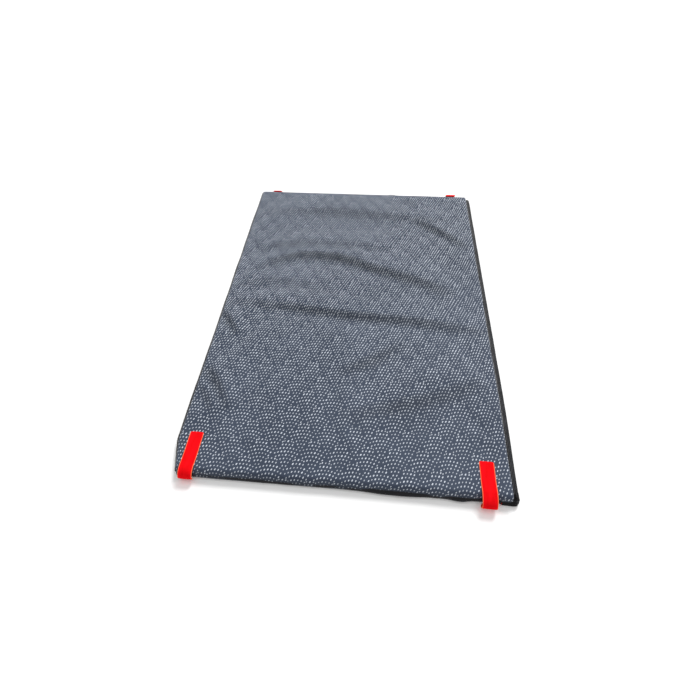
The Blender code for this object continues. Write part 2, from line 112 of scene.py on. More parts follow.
class Wire:
    """An output in a node tree. Arithmetic on it adds Math nodes."""

    def __init__(self, tree, socket):
        self.tree = tree
        self.socket = socket

    def math(self, operation, *others):
        node = self.tree.nodes.new("ShaderNodeMath")
        node.operation = operation
        for socket, value in zip(node.inputs, (self, *others)):
            put(self.tree, socket, value)
        return Wire(self.tree, node.outputs[0])

    def __add__(self, other):
        return self.math("ADD", other)

    def __sub__(self, other):
        return self.math("SUBTRACT", other)

    def __mul__(self, other):
        return self.math("MULTIPLY", other)

    def __truediv__(self, other):
        return self.math("DIVIDE", other)

    def span(self, low, high, to_low=0.0, to_high=1.0):
        """Low to high becomes to_low to to_high, held at both ends."""
        node = self.tree.nodes.new("ShaderNodeMapRange")
        node.interpolation_type = "SMOOTHSTEP"
        names = ("Value", "From Min", "From Max", "To Min", "To Max")
        for name, value in zip(names, (self, low, high, to_low, to_high)):
            put(self.tree, node.inputs[name], value)
        return Wire(self.tree, node.outputs["Result"])


class Tree:
    """A node tree being filled in."""

    def __init__(self, tree):
        self.tree = tree

    def node(self, kind, output=0, settings=(), **inputs):
        node = self.tree.nodes.new("ShaderNode" + kind)
        for name, value in dict(settings).items():
            setattr(node, name, value)
        for name, value in inputs.items():
            put(self.tree, node.inputs[name.replace("_", " ")], value)
        return Wire(self.tree, node.outputs[output])

    def split(self, vector):
        node = self.tree.nodes.new("ShaderNodeSeparateXYZ")
        put(self.tree, node.inputs[0], vector)
        return [Wire(self.tree, output) for output in node.outputs]

    def join(self, x, y, z=0.0):
        node = self.tree.nodes.new("ShaderNodeCombineXYZ")
        for socket, value in zip(node.inputs, (x, y, z)):
            put(self.tree, socket, value)
        return Wire(self.tree, node.outputs[0])

    def noise(self, vector, scale, detail=3.0, roughness=0.5):
        return self.node("TexNoise", Vector=vector, Scale=scale, Detail=detail, Roughness=roughness)

    def mix(self, factor, a, b):
        """Colour a where factor is 0, colour b where it is 1."""
        node = self.tree.nodes.new("ShaderNodeMix")
        node.data_type = "RGBA"
        for index, value in ((0, factor), (6, a), (7, b)):
            if not isinstance(value, Wire) and index:
                value = (*value, 1.0)
            put(self.tree, node.inputs[index], value)
        return Wire(self.tree, node.outputs[2])

    def shade(self, colour, amount):
        """The colour times a grey amount."""
        node = self.tree.nodes.new("ShaderNodeVectorMath")
        node.operation = "SCALE"
        put(self.tree, node.inputs[0], colour if isinstance(colour, Wire) else colour[:3])
        put(self.tree, node.inputs["Scale"], amount)
        return Wire(self.tree, node.outputs[0])

    def group(self, name, output=0, **inputs):
        node = self.tree.nodes.new("ShaderNodeGroup")
        node.node_tree = GROUPS[name]
        for key, value in inputs.items():
            put(self.tree, node.inputs[key.replace("_", " ")], value)
        return Wire(self.tree, node.outputs[output])

    def bump(self, height, strength, distance):
        return self.node("Bump", Height=height, Strength=strength, Distance=distance)


def new_group(name, outputs, **inputs):
    """A shader node group: (Tree, its inputs as wires by name, the output node).

    An input with the value None is a vector, and any other is a number that starts at its value.
    """
    tree = bpy.data.node_groups.new(name, "ShaderNodeTree")
    for label, value in inputs.items():
        kind = "NodeSocketVector" if value is None else "NodeSocketFloat"
        socket = tree.interface.new_socket(label, in_out="INPUT", socket_type=kind)
        if value is not None:
            socket.default_value = value
    for label in outputs:
        tree.interface.new_socket(label, in_out="OUTPUT", socket_type="NodeSocketFloat")
    start = tree.nodes.new("NodeGroupInput")
    end = tree.nodes.new("NodeGroupOutput")
    wires = {label: Wire(tree, start.outputs[label]) for label in inputs}
    return Tree(tree), wires, end


def fan_dots_group():
    """Dots set along the arcs of fans. The fans fill rhombi that share their sides."""
    tree, given, end = new_group("fan_dots", ["Dots", "Variation", "Large"], Vector=None)
    x, y, _ = tree.split(given["Vector"])
    stretch = y.span(*DOT_STRETCH)
    narrowing = y.span(*DOT_NARROWING)
    x, y = x / FAN_HALF_WIDTH, y / FAN_RISE
    first, second = (y + x) * 0.5, (y - x) * 0.5
    cell_a, cell_b = first.math("FLOOR"), second.math("FLOOR")
    inside_a, inside_b = first - cell_a, second - cell_b
    across = (inside_a - inside_b) * FAN_HALF_WIDTH
    up = (inside_a + inside_b) * (FAN_RISE / FAN_ASPECT)
    radius = (across * across + up * up).math("SQRT")
    ring = (radius / RING_STEP + RING_PHASE).math("ROUND").math("MAXIMUM", 1.0)
    ring_radius = (ring - RING_PHASE) * RING_STEP
    odd = (ring * 0.5).math("FRACT")
    arc = across.math("ARCTAN2", up) * ring_radius
    place = (arc / DOT_SPACING + odd).math("FLOOR")
    angle = (place + 0.5 - odd) * DOT_SPACING / ring_radius
    dot_x, dot_y = angle.math("SINE") * ring_radius, angle.math("COSINE") * ring_radius
    off_x, off_y = across - dot_x, up - dot_y
    lengthwise = off_x * math.cos(DOT_SLANT) + off_y * math.sin(DOT_SLANT)
    sideways = off_y * math.cos(DOT_SLANT) - off_x * math.sin(DOT_SLANT)
    lengthwise, sideways = lengthwise / stretch, sideways * narrowing
    distance = (lengthwise * lengthwise + sideways * sideways).math("SQRT")
    side_x, side_y = dot_x / FAN_HALF_WIDTH, dot_y * (FAN_ASPECT / FAN_RISE)
    side_a, side_b = (side_y + side_x) * 0.5, (side_y - side_x) * 0.5
    far_a, far_b = side_a * -1.0 + 1.0, side_b * -1.0 + 1.0
    room = side_a.math("MINIMUM", side_b).math("MINIMUM", far_a).math("MINIMUM", far_b)
    kept = room.math("GREATER_THAN", FAN_MARGIN)
    from_heart = dot_y - 2 * FAN_HALF_WIDTH
    heart = (dot_x * dot_x + from_heart * from_heart).math("SQRT") - HEART_RADIUS
    large = heart.math("ABSOLUTE").math("LESS_THAN", HEART_BREADTH)
    chance = tree.node(
        "TexWhiteNoise", "Value", Vector=tree.join(cell_a + place, cell_b - ring * 3.0, ring)
    )
    size = (large * (LARGE_DOT - SMALL_DOT) + SMALL_DOT) * (chance * 0.3 + 0.85)
    edge = (distance - size).span(-DOT_BLUR, DOT_BLUR, 1.0, 0.0)
    put(tree.tree, end.inputs["Dots"], edge * kept)
    put(tree.tree, end.inputs["Variation"], chance)
    put(tree.tree, end.inputs["Large"], large)
    return tree.tree


def weave_group():
    """Threads going over and under each other."""
    tree, given, end = new_group("weave", ["Height"], Vector=None, Pitch=0.001)
    x, y, _ = tree.split(given["Vector"])
    turn_x = (x / given["Pitch"] * math.pi).math("SINE")
    turn_y = (y / given["Pitch"] * math.pi).math("SINE")
    over = (turn_x * turn_y) * 0.5 + 0.5
    threads = turn_x.math("ABSOLUTE") * over + turn_y.math("ABSOLUTE") * (over * -1.0 + 1.0)
    put(tree.tree, end.inputs["Height"], threads)
    return tree.tree


def ribs_group():
    """Rounded ribs across a direction, such as on grosgrain."""
    tree, given, end = new_group("ribs", ["Height"], Across=0.0, Pitch=0.002)
    turn = given["Across"] / given["Pitch"] * math.pi
    put(tree.tree, end.inputs["Height"], turn.math("SINE").math("ABSOLUTE"))
    return tree.tree


def stitches_group():
    """A row of stitches: Across is the distance from the row, Along the way along it."""
    tree, given, end = new_group(
        "stitches", ["Thread"], Across=0.0, Along=0.0, Stitch=0.004, Thread=0.0008
    )
    step = (given["Along"] / given["Stitch"]).math("FRACT") - 0.5
    length = step.math("ABSOLUTE").span(0.34, 0.42, 1.0, 0.0)
    width = (given["Across"].math("ABSOLUTE") / given["Thread"]).span(0.35, 0.6, 1.0, 0.0)
    put(tree.tree, end.inputs["Thread"], length * width)
    return tree.tree


def fibres_group():
    """Short tangled fibres, as on felt, wadding and pile."""
    tree, given, end = new_group("fibres", ["Height"], Vector=None, Scale=400.0)
    fine = tree.noise(given["Vector"], given["Scale"], 4.0, 0.65)
    coarse = tree.noise(given["Vector"], given["Scale"] * 0.2, 2.0)
    put(tree.tree, end.inputs["Height"], fine * 0.7 + coarse * 0.3)
    return tree.tree


MADE = (fan_dots_group(), weave_group(), ribs_group(), stitches_group(), fibres_group())
GROUPS = {group.name: group for group in MADE}


def new_material(name, **constants):
    """A new material, its Tree, its Principled BSDF, and its Object and UV coordinates as wires."""
    material = bpy.data.materials.new(name)
    material.use_nodes = True
    tree = Tree(material.node_tree)
    shader = next(n for n in material.node_tree.nodes if n.type == "BSDF_PRINCIPLED")
    for key, value in constants.items():
        shader.inputs[key.replace("_", " ")].default_value = value
    spot = tree.node("TexCoord", "Object")
    flat = Wire(tree.tree, spot.socket.node.outputs["UV"])
    return material, tree, shader, spot, flat


def wire_up(tree, shader, **values):
    for name, value in values.items():
        put(tree.tree, shader.inputs[name.replace("_", " ")], value)


# ---------------- finishes


def dotted_fabric():
    """The printed top cloth: pale dots on a dark woven ground, with painted shade on the near slopes of its
    creases and low on its end sides.
    """
    material, tree, shader, spot, flat = new_material(
        "dotted_fabric_visual", Sheen_Weight=0.12, Sheen_Roughness=0.5, Specular_IOR_Level=0.3
    )
    dots = tree.group("fan_dots", "Dots", Vector=flat)
    chance = tree.group("fan_dots", "Variation", Vector=flat)
    weave = tree.group("weave", Vector=flat, Pitch=0.0011)
    cloudy = tree.noise(spot, 3.2, 3.0)
    heather = tree.noise(flat, 900.0, 2.0)
    ground = tree.mix(cloudy.span(0.3, 0.7), (0.029, 0.041, 0.068), (0.041, 0.055, 0.086))
    ground = tree.shade(ground, weave * 0.22 + heather * 0.25 + 0.77)
    size = tree.group("fan_dots", "Large", Vector=flat)
    dot = tree.shade((0.50, 0.54, 0.60), chance * 0.3 + weave * 0.15 + size * 0.08 + 0.64)
    # Painted shade: the fold attribute darkens dots and ground alike on the crease slopes that face away from
    # the key light, and low on the end sides.
    folds = tree.node("Attribute", "Fac", settings={"attribute_name": "fold"})
    painted_shade_factor = folds * -0.52 + 1.0
    wire_up(
        tree, shader,
        Base_Color=tree.shade(tree.mix(dots, ground, dot), painted_shade_factor),
        Roughness=dots * -0.1 + 0.82,
        Normal=tree.bump(weave * 0.6 + dots * 0.4, 0.35, 0.0006),
    )
    return material


def black_nylon():
    material, tree, shader, spot, flat = new_material("black_nylon_visual", Specular_IOR_Level=0.2)
    weave = tree.group("weave", Vector=flat, Pitch=0.0009)
    cloudy = tree.noise(spot, 9.0, 4.0)
    colour = tree.mix(cloudy.span(0.3, 0.7), (0.007, 0.007, 0.009), (0.014, 0.014, 0.017))
    wire_up(
        tree, shader,
        Base_Color=tree.shade(colour, weave * 0.3 + 0.8),
        Roughness=cloudy * 0.2 + 0.42,
        Normal=tree.bump(weave, 0.4, 0.0004),
    )
    return material


def black_satin():
    """The ribbed binding tape: fine cross ribs and a soft shine."""
    material, tree, shader, _, flat = new_material("black_satin_visual", Specular_IOR_Level=0.14)
    across, along, _ = tree.split(flat)
    ribs = tree.group("ribs", Across=along, Pitch=0.0012)
    # Lighter and darker streaks along the tape, in its colour and its roughness.
    streaks = tree.noise(tree.join(across * 40.0, along * 6.0), 1.0, 4.0)
    colour = tree.mix(streaks.span(0.35, 0.75), (0.003, 0.003, 0.0035), (0.009, 0.009, 0.010))
    wire_up(
        tree, shader,
        Base_Color=colour,
        Roughness=streaks * 0.25 + 0.32,
        Normal=tree.bump(ribs, 0.16, 0.0003),
    )
    return material


def red_pile():
    """Brushed loop tape with paler cut edges."""
    material, tree, shader, spot, flat = new_material(
        "red_loop_visual", Sheen_Weight=0.05, Sheen_Roughness=0.4,
        Sheen_Tint=(1.0, 0.12, 0.08, 1.0), Specular_IOR_Level=0.05,
    )
    across, along, _ = tree.split(flat)
    pile = tree.group("fibres", Vector=spot, Scale=700.0)
    brushed = tree.noise(tree.join(across * 60.0, along * 14.0), 1.0, 3.0)
    red = tree.mix(brushed.span(0.3, 0.7), (0.72, 0.0015, 0.004), (0.90, 0.003, 0.008))
    red = tree.shade(red, pile * 0.35 + 0.80)
    edge = across.math("ABSOLUTE").span(STRAP_HALF_WIDTH - 0.0024, STRAP_HALF_WIDTH - 0.0012)
    red = tree.mix(edge, red, (1.0, 0.19, 0.08))
    wire_up(tree, shader, Base_Color=red, Roughness=0.9, Normal=tree.bump(pile, 0.5, 0.0008))
    return material


def hook_tape():
    material, tree, shader, _, flat = new_material("hook_tape_visual", Specular_IOR_Level=0.4)
    hooks = tree.node(
        "TexVoronoi", "Distance", settings={"feature": "F1"}, Vector=flat, Scale=620.0, Randomness=0.25
    )
    tips = hooks.span(0.1, 0.5, 1.0, 0.0)
    wire_up(
        tree, shader,
        Base_Color=tree.mix(tips, (0.008, 0.008, 0.009), (0.035, 0.035, 0.037)),
        Roughness=tips * -0.25 + 0.7,
        Normal=tree.bump(tips, 0.7, 0.0008),
    )
    return material


def lining_cloth():
    """Coated, wipe-clean cloth with a faint grain."""
    material, tree, shader, _, flat = new_material(
        "lining_visual", Specular_IOR_Level=0.5, Coat_Weight=0.15, Coat_Roughness=0.35
    )
    weave = tree.group("weave", Vector=flat, Pitch=0.0012)
    grain = tree.noise(flat, 60.0, 5.0, 0.6)
    colour = tree.mix(grain.span(0.3, 0.7), (0.034, 0.036, 0.042), (0.052, 0.054, 0.062))
    across, along, _ = tree.split(flat)
    channel = (across / QUILT_PITCH).math("FRACT") - 0.5
    thread = tree.group(
        "stitches", Across=channel * QUILT_PITCH, Along=along, Stitch=0.005, Thread=0.0012
    )
    wire_up(
        tree, shader,
        Base_Color=tree.mix(thread, colour, (0.12, 0.12, 0.13)),
        Roughness=grain * 0.25 + 0.34,
        Normal=tree.bump(weave * 0.4 + grain * 0.5 + thread, 0.35, 0.0005),
    )
    return material


def fibrous(name, dark, light, scale, strength):
    material, tree, shader, spot, _ = new_material(name, Roughness=0.95, Specular_IOR_Level=0.15)
    fibres = tree.group("fibres", Vector=spot, Scale=scale)
    wire_up(
        tree, shader,
        Base_Color=tree.mix(fibres.span(0.3, 0.7), dark, light),
        Normal=tree.bump(fibres, strength, 0.001),
    )
    return material


def moulded(name, dark, light, roughness, metallic=0.0):
    """A smooth moulded or drawn surface with slight wear."""
    material, tree, shader, spot, _ = new_material(name, Metallic=metallic)
    worn = tree.noise(spot, 160.0, 4.0, 0.6)
    grain = tree.noise(spot, 1400.0, 2.0)
    wire_up(
        tree, shader,
        Base_Color=tree.mix(worn.span(0.35, 0.7), dark, light),
        Roughness=worn * 0.2 + roughness,
        Normal=tree.bump(grain, 0.15, 0.0003),
    )
    return material


QUILT_PITCH = 0.08
STRAP_HALF_WIDTH = 0.0238

FINISHES = {
    "dotted_fabric": dotted_fabric(),
    "black_nylon": black_nylon(),
    "black_satin": black_satin(),
    "red_loop_tape": red_pile(),
    "black_hook_tape": hook_tape(),
    "waterproof_lining": lining_cloth(),
    "white_wadding": fibrous("wadding_visual", (0.66, 0.65, 0.62), (0.82, 0.81, 0.78), 260.0, 0.8),
    "carrier_felt": fibrous("felt_visual", (0.22, 0.22, 0.23), (0.34, 0.34, 0.35), 600.0, 0.5),
    "reflective_foil": moulded("foil_visual", (0.75, 0.76, 0.78), (0.9, 0.9, 0.92), 0.18, 1.0),
    "heating_cable_jacket": moulded("cable_visual", (0.5, 0.16, 0.03), (0.66, 0.24, 0.06), 0.4),
    "black_plastic": moulded("plastic_visual", (0.014, 0.014, 0.015), (0.028, 0.028, 0.03), 0.35),
    "lead_jacket": moulded("lead_visual", (0.6, 0.6, 0.58), (0.74, 0.74, 0.72), 0.38),
    "brass": moulded("brass_visual", (0.62, 0.42, 0.16), (0.8, 0.6, 0.28), 0.22, 1.0),
    "rivet_steel": moulded("steel_visual", (0.5, 0.5, 0.51), (0.68, 0.68, 0.7), 0.26, 1.0),
}


# ---------------- relief of the padded panels


def smooth_path(points, steps=12):
    """A smooth curve through the points."""
    points = np.array(points, float)
    padded = np.vstack([2 * points[0] - points[1], points, 2 * points[-1] - points[-2]])
    out = []
    for a, b, c, d in zip(padded, padded[1:], padded[2:], padded[3:]):
        for t in np.linspace(0, 1, steps, endpoint=False):
            out.append(
                0.5 * (2 * b + (c - a) * t + (2 * a - 5 * b + 4 * c - d) * t**2
                       + (3 * b - a - 3 * c + d) * t**3)
            )
    return np.array([*out, points[-1]])


# Each crease: its course over the upper panel from left to right, its height, and the widths of its far
# and near slopes.
CREASES = (
    (((-0.56, -0.03), (-0.25, -0.055), (0.0, -0.085), (0.28, -0.105), (0.56, -0.15)), 0.0085, 0.08, 0.030),
    (
        (
            (-0.50, 0.20), (-0.36, 0.29), (-0.24, 0.33), (-0.06, 0.315),
            (0.09, 0.25), (0.31, 0.16), (0.45, 0.07),
        ),
        0.0105, 0.075, 0.036,
    ),
    (((-0.52, 0.36), (-0.30, 0.42), (-0.05, 0.43), (0.2, 0.40)), 0.0045, 0.06, 0.035),
    (((0.28, 0.66), (0.40, 0.56), (0.54, 0.42)), 0.0085, 0.045, 0.026),
    (((-0.56, -0.10), (-0.51, -0.16), (-0.45, -0.25)), 0.0085, 0.035, 0.022),
    (((-0.55, -0.42), (-0.48, -0.50), (-0.40, -0.64)), 0.0075, 0.04, 0.024),
    (((-0.56, -0.52), (-0.50, -0.58), (-0.46, -0.66)), 0.0045, 0.03, 0.02),
    (((-0.02, -0.61), (0.22, -0.53), (0.50, -0.40)), 0.0055, 0.07, 0.04),
    (((-0.05, -0.41), (0.07, -0.34), (0.2, -0.22)), 0.0055, 0.06, 0.035),
    (((-0.52, 0.70), (-0.2, 0.73), (0.15, 0.70), (0.5, 0.66)), 0.0045, 0.07, 0.04),
    (((-0.55, 0.08), (-0.35, 0.12), (-0.1, 0.10)), 0.004, 0.05, 0.035),
)


def crease(x, y, points, height, far_width, near_width, painted_slope_shade=False):
    """A fold that rises gently on its far side and drops quickly on its near side, or only the weight of
    painted shade on its near slope.
    """
    path = smooth_path(points)
    best = np.full(x.shape, np.inf)
    side = np.zeros(x.shape)
    along = np.zeros(x.shape)
    for index, (a, b) in enumerate(zip(path, path[1:])):
        step = b - a
        t = np.clip(((x - a[0]) * step[0] + (y - a[1]) * step[1]) / (step @ step), 0, 1)
        off_x, off_y = x - a[0] - t * step[0], y - a[1] - t * step[1]
        distance = np.hypot(off_x, off_y)
        nearer = distance < best
        best = np.where(nearer, distance, best)
        side = np.where(nearer, np.sign(step[0] * off_y - step[1] * off_x), side)
        along = np.where(nearer, (index + t) / (len(path) - 1), along)
    width = np.where(side > 0, far_width, near_width)
    fade = np.sin(np.pi * np.clip(along, 0, 1)) ** 0.6
    # The weight of painted shade along the fold's near slope, in place of its height.
    if painted_slope_shade:
        off = (best - 0.9 * near_width) / (0.9 * near_width)
        return fade * (height / 0.010) * np.exp(-(off**2)) * (side < 0)
    trough = 0.35 * np.exp(-(((best - 1.9 * near_width) / near_width) ** 2)) * (side < 0)
    return height * fade * (np.exp(-((best / width) ** 2)) - trough)


def waver(x, y, z):
    """Smooth uneven rise and fall, from -1 to 1."""
    return noise.noise(Vector((x, y, z)))


def swell(x, y, size, seed):
    """The same over arrays. size is how far apart its rises lie each way."""
    values = [waver(a / size[0], b / size[1], seed) for a, b in zip(x.ravel(), y.ravel())]
    return np.array(values).reshape(x.shape)


def ramp(value, low, high):
    t = np.clip((value - low) / (high - low), 0, 1)
    return t * t * (3 - 2 * t)


def edge_room(x, y):
    """Distance to the nearest side of the upper panel."""
    sides = (x - UPPER_LOW.x, UPPER_HIGH.x - x, y - UPPER_LOW.y, UPPER_HIGH.y - y)
    return np.minimum.reduce(sides)


def slack_cloth():
    """Lets a slack sheet of the top fabric buckle between its sewn edges: its rise by row and column."""
    columns, rows = CLOTH_CELLS
    middle, half = (UPPER_LOW + UPPER_HIGH) / 2, (UPPER_HIGH - UPPER_LOW) / 2
    bm = bmesh.new()
    bmesh.ops.create_grid(bm, x_segments=columns, y_segments=rows, size=1.0)
    bmesh.ops.scale(bm, verts=bm.verts, vec=(half.x, half.y, 1))
    bmesh.ops.translate(bm, verts=bm.verts, vec=(middle.x, middle.y, 0))
    places = np.array([vert.co for vert in bm.verts])
    start = folds(places[:, 0], places[:, 1])
    for vert, height in zip(bm.verts, start):
        vert.co.z = height
    held = [vert.index for vert in bm.verts if vert.is_boundary]
    sheet = add_mesh("slack_cloth", bm)
    sheet.vertex_groups.new(name="sewn").add(held, 1.0, "REPLACE")
    cloth = sheet.modifiers.new("Cloth", "CLOTH")
    settings = cloth.settings
    settings.quality = 6
    settings.mass = 0.25
    settings.tension_stiffness = settings.compression_stiffness = 12
    settings.shear_stiffness = 6
    settings.bending_stiffness = 1.2
    settings.shrink_min = -0.006
    settings.effector_weights.gravity = 0
    settings.use_pressure = True
    settings.uniform_pressure_force = 0.6
    settings.vertex_group_mass = "sewn"
    cloth.collision_settings.use_collision = False
    for frame_number in range(1, CLOTH_FRAMES + 1):
        SCENE.frame_set(frame_number)
    settled = sheet.evaluated_get(bpy.context.evaluated_depsgraph_get()).to_mesh()
    rise = np.array([vert.co.z for vert in settled.vertices]) - start
    SCENE.frame_set(1)
    bpy.data.objects.remove(sheet)
    column = np.round((places[:, 0] - UPPER_LOW.x) / (2 * half.x) * columns).astype(int)
    row = np.round((places[:, 1] - UPPER_LOW.y) / (2 * half.y) * rows).astype(int)
    grid = np.zeros((rows + 1, columns + 1))
    grid[row, column] = rise - rise.mean()
    return CLOTH_CAP * np.tanh(grid / CLOTH_CAP)


def sample(grid, x, y):
    """The grid's value over the upper panel at each point."""
    rows, columns = grid.shape[0] - 1, grid.shape[1] - 1
    across = np.clip((x - UPPER_LOW.x) / (UPPER_HIGH.x - UPPER_LOW.x), 0, 1) * columns
    up = np.clip((y - UPPER_LOW.y) / (UPPER_HIGH.y - UPPER_LOW.y), 0, 1) * rows
    column = np.minimum(across.astype(int), columns - 1)
    row = np.minimum(up.astype(int), rows - 1)
    a, b = across - column, up - row
    low = grid[row, column] * (1 - a) + grid[row, column + 1] * a
    high = grid[row + 1, column] * (1 - a) + grid[row + 1, column + 1] * a
    return low * (1 - b) + high * b


def folds(x, y):
    return sum(crease(x, y, *shape) for shape in CREASES)


CLOTH_CELLS = (90, 144)
CLOTH_FRAMES = 20
CLOTH_CAP = 0.005
RELIEF_CAP = 0.0105
SLACK = slack_cloth()


def upper_relief(x, y):
    """How far the upper panel's top stands above or below its flat height."""
    room = edge_room(x, y)
    height = folds(x, y) + sample(SLACK, x, y)
    height += 0.0022 * swell(x, y, (0.42, 0.20), 3.1)
    height += 0.0011 * swell(x, y, (0.16, 0.07), 8.4)
    height += 0.0004 * swell(x, y, (0.05, 0.03), 5.7)
    height = RELIEF_CAP * np.tanh(height / RELIEF_CAP)
    return height * (0.25 + 0.75 * ramp(room, 0.0, 0.07)) - 0.0015 * (1 - ramp(room, 0.0, 0.12))


# ---------------- building


LEFT_CORNER_PULL = 0.006
LEFT_CORNER_PUSH = 0.034
LEFT_CORNER_SIZE = (0.085, 0.150)
RIGHT_CORNER_PULL = 0.0065


def settle(vert, corner):
    """The blanket doesn't lie quite square.

    Its near left corner is pulled out, its near right corner is drawn in, and where corner is true the tip of
    the left one is pushed in as well.
    """
    x, y = vert.co.x, vert.co.y
    vert.co.y -= LEFT_CORNER_PULL * (1 - ramp(x, -0.56, 0.05)) * (1 - ramp(y, -0.9, -0.4))
    vert.co.x -= RIGHT_CORNER_PULL * ramp(x, 0.2, 0.57) * (1 - ramp(y, -0.95, -0.45))
    if corner:
        width, depth = LEFT_CORNER_SIZE
        slope = min(max((-0.775 - y) / depth, 0.0), 1.0)
        reach = min(max((x + 0.570) / width, 0.0), 1.0)
        vert.co.x += LEFT_CORNER_PUSH * slope * (1 - reach) ** 2


def new_object(name, bm, finish):
    """The finished piece, with its finish in a material slot."""
    bmesh.ops.recalc_face_normals(bm, faces=bm.faces)
    for vert in bm.verts:
        settle(vert, not name.startswith("strap_near_left_tape"))
    obj = add_mesh(name, bm)
    obj.data.shade_smooth()
    obj.data.materials.append(FINISHES[finish])
    return obj


def new_grid(columns, rows):
    """A grid mesh, its vertices with their column and row, and its flat UV map's layer."""
    bm = bmesh.new()
    flat = bm.loops.layers.uv.new("Flat")
    bmesh.ops.create_grid(bm, x_segments=columns, y_segments=rows, size=1.0)
    places = {
        vert: (round((vert.co.x + 1) / 2 * columns), round((vert.co.y + 1) / 2 * rows))
        for vert in bm.verts
    }
    return bm, places, flat


def arc_lengths(path):
    """How far along the path each of its points lies."""
    return np.concatenate([[0], np.cumsum(np.hypot(*np.diff(path, axis=0).T))])


def point_at(distance, lengths, path):
    """The point that far along the path, whose own points lie at these lengths."""
    return np.array([np.interp(distance, lengths, path[:, axis]) for axis in (0, 1)])


def lay_flat(bm, flat, laid):
    """Gives each vertex its place on the flat cloth, in metres."""
    for face in bm.faces:
        for loop in face.loops:
            loop[flat].uv = laid[loop.vert]


SHOULDER_POINTS = 8


def side_profile(thick, shoulder, shoulder_drop, foot, hem):
    """(outward, drop) points from a panel's face over its shoulder, down its side and under its foot."""
    points = [
        (shoulder * math.sin(angle), shoulder_drop * (1 - math.cos(angle)))
        for angle in np.linspace(0, math.pi / 2, SHOULDER_POINTS)
    ]
    side = thick - foot - shoulder_drop
    points += [(shoulder, shoulder_drop + side * share) for share in (0.25, 0.5, 0.75)]
    points += [
        (shoulder - foot * (1 - math.cos(angle)), thick - foot + foot * math.sin(angle))
        for angle in np.linspace(0, math.pi / 2, 4)
    ]
    points.append((shoulder - foot - hem, thick))
    return points


def wrapped_panel(
    name, low, high, outer, profile, size, relief, sway, finish, inset=0.0, skirt=None, tuck=0.0
):
    """A panel's skin: a flat face whose border wraps over the four sides, its open back closed by one face.

    outer is 1 where the flat face is on top and -1 where it is underneath.
    """
    wraps = len(profile) - 1
    reach = profile[SHOULDER_POINTS - 1][0]
    left, right = low.x + inset + reach, high.x - inset - reach
    near, far = low.y + inset + reach, high.y - inset - reach
    columns, rows = round((right - left) / size) + 2 * wraps, round((far - near) / size) + 2 * wraps
    bm, places, flat = new_grid(columns, rows)
    lengths = arc_lengths(profile)
    verts = list(bm.verts)
    i, j = np.array([places[vert] for vert in verts]).T
    x = left + np.clip((i - wraps) / (columns - 2 * wraps), 0, 1) * (right - left)
    y = near + np.clip((j - wraps) / (rows - 2 * wraps), 0, 1) * (far - near)
    wrap_x = np.maximum(np.maximum(wraps - i, i - (columns - wraps)), 0)
    wrap_y = np.maximum(np.maximum(wraps - j, j - (rows - wraps)), 0)
    ring = np.maximum(wrap_x, wrap_y)
    most = np.maximum(ring, 1)
    angle = np.where(
        wrap_x >= wrap_y, math.pi / 4 * wrap_y / most, math.pi / 2 - math.pi / 4 * wrap_x / most
    )
    way_x = np.where(ring > 0, np.cos(angle), 0) * np.where(i < columns / 2, -1, 1)
    way_y = np.where(ring > 0, np.sin(angle), 0) * np.where(j < rows / 2, -1, 1)
    square = np.maximum(np.maximum(np.abs(way_x), np.abs(way_y)), 0.5) ** -0.6
    way_x, way_y = way_x * square, way_y * square
    out, drop = np.array(profile)[ring].T
    arc = lengths[ring]
    thick = profile[-1][1]
    flat_x, flat_y = x + way_x * arc, y + way_y * arc
    x, y = x + way_x * out, y + way_y * out
    bulge = sway(x, y, way_y, drop / thick) * (ring > 0)
    face = high.z - inset if outer > 0 else low.z + inset
    z = face - outer * drop + relief(x, y) * (1 - drop / thick) ** 1.5
    x, y = x + way_x * bulge - tuck * ramp(x, high.x - 0.09, high.x), y + way_y * bulge
    if skirt:
        hang = skirt(x) * np.clip((-way_y - 0.55) / 0.35, 0, 1)
        lowered = ramp(drop / thick, 0.4, 0.95) * (ring < wraps)
        z = z - hang * lowered
        y = y - np.clip(hang / 0.010, 0, 1) * 0.0065 * lowered
        flat_y = flat_y - hang * lowered
    for vert, place in zip(verts, zip(x, y, z)):
        vert.co = place
    lay_flat(bm, flat, {vert: (a, b) for vert, a, b in zip(verts, flat_x, flat_y)})
    rim = [edge for edge in bm.edges if edge.is_boundary]
    bmesh.ops.contextual_create(bm, geom=rim)
    return new_object(name, bm, finish)


def level(x, *_):
    """Neither rise nor bulge."""
    return np.zeros(x.shape)


def upper_sway(x, y, way_y, down):
    """The sides of the upper panel bow in and out a little along their length."""
    wave = swell(x, y, (0.12, 0.12), 1.7) * 0.0022 + swell(x, y, (0.04, 0.04), 2.9) * 0.0006
    clear_of_fold = ramp(x, UPPER_LOW.x + 0.02, UPPER_LOW.x + 0.08)
    return wave * np.sin(np.pi * np.clip(down, 0, 1)) ** 0.5 * clear_of_fold


def upper_skirt(x):
    """How far the top fabric hangs past the upper panel's near side. It is cut away behind the straps."""
    depth = 0.0175 - 0.0115 * ramp(x, 0.03, 0.10)
    depth += 0.008 * np.exp(-(((x - 0.315) / 0.022) ** 2)) + 0.0012 * swell(x, 0 * x, (0.05, 1.0), 9.2)
    for node in ("strap_near_left_leg", "strap_near_right_leg"):
        low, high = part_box(node)
        depth *= ramp(np.abs(x - (low.x + high.x) / 2), 0.022, 0.036)
    return depth


def lower_sway(x, y, way_y, down):
    """The lower panel's near side pushes out where no tape holds it in."""
    near = way_y < -0.5
    slack = np.exp(-(((x - 0.18) / 0.11) ** 2)) + 0.9 * np.exp(-(((x - 0.39) / 0.035) ** 2))
    slack += 0.35 * np.exp(-(((x + 0.18) / 0.2) ** 2))
    ripple = swell(x, y, (0.05, 0.05), 6.3) * 0.0012
    middle = np.sin(np.pi * np.clip(down, 0, 1))
    return (near * slack * 0.009 + ripple) * middle


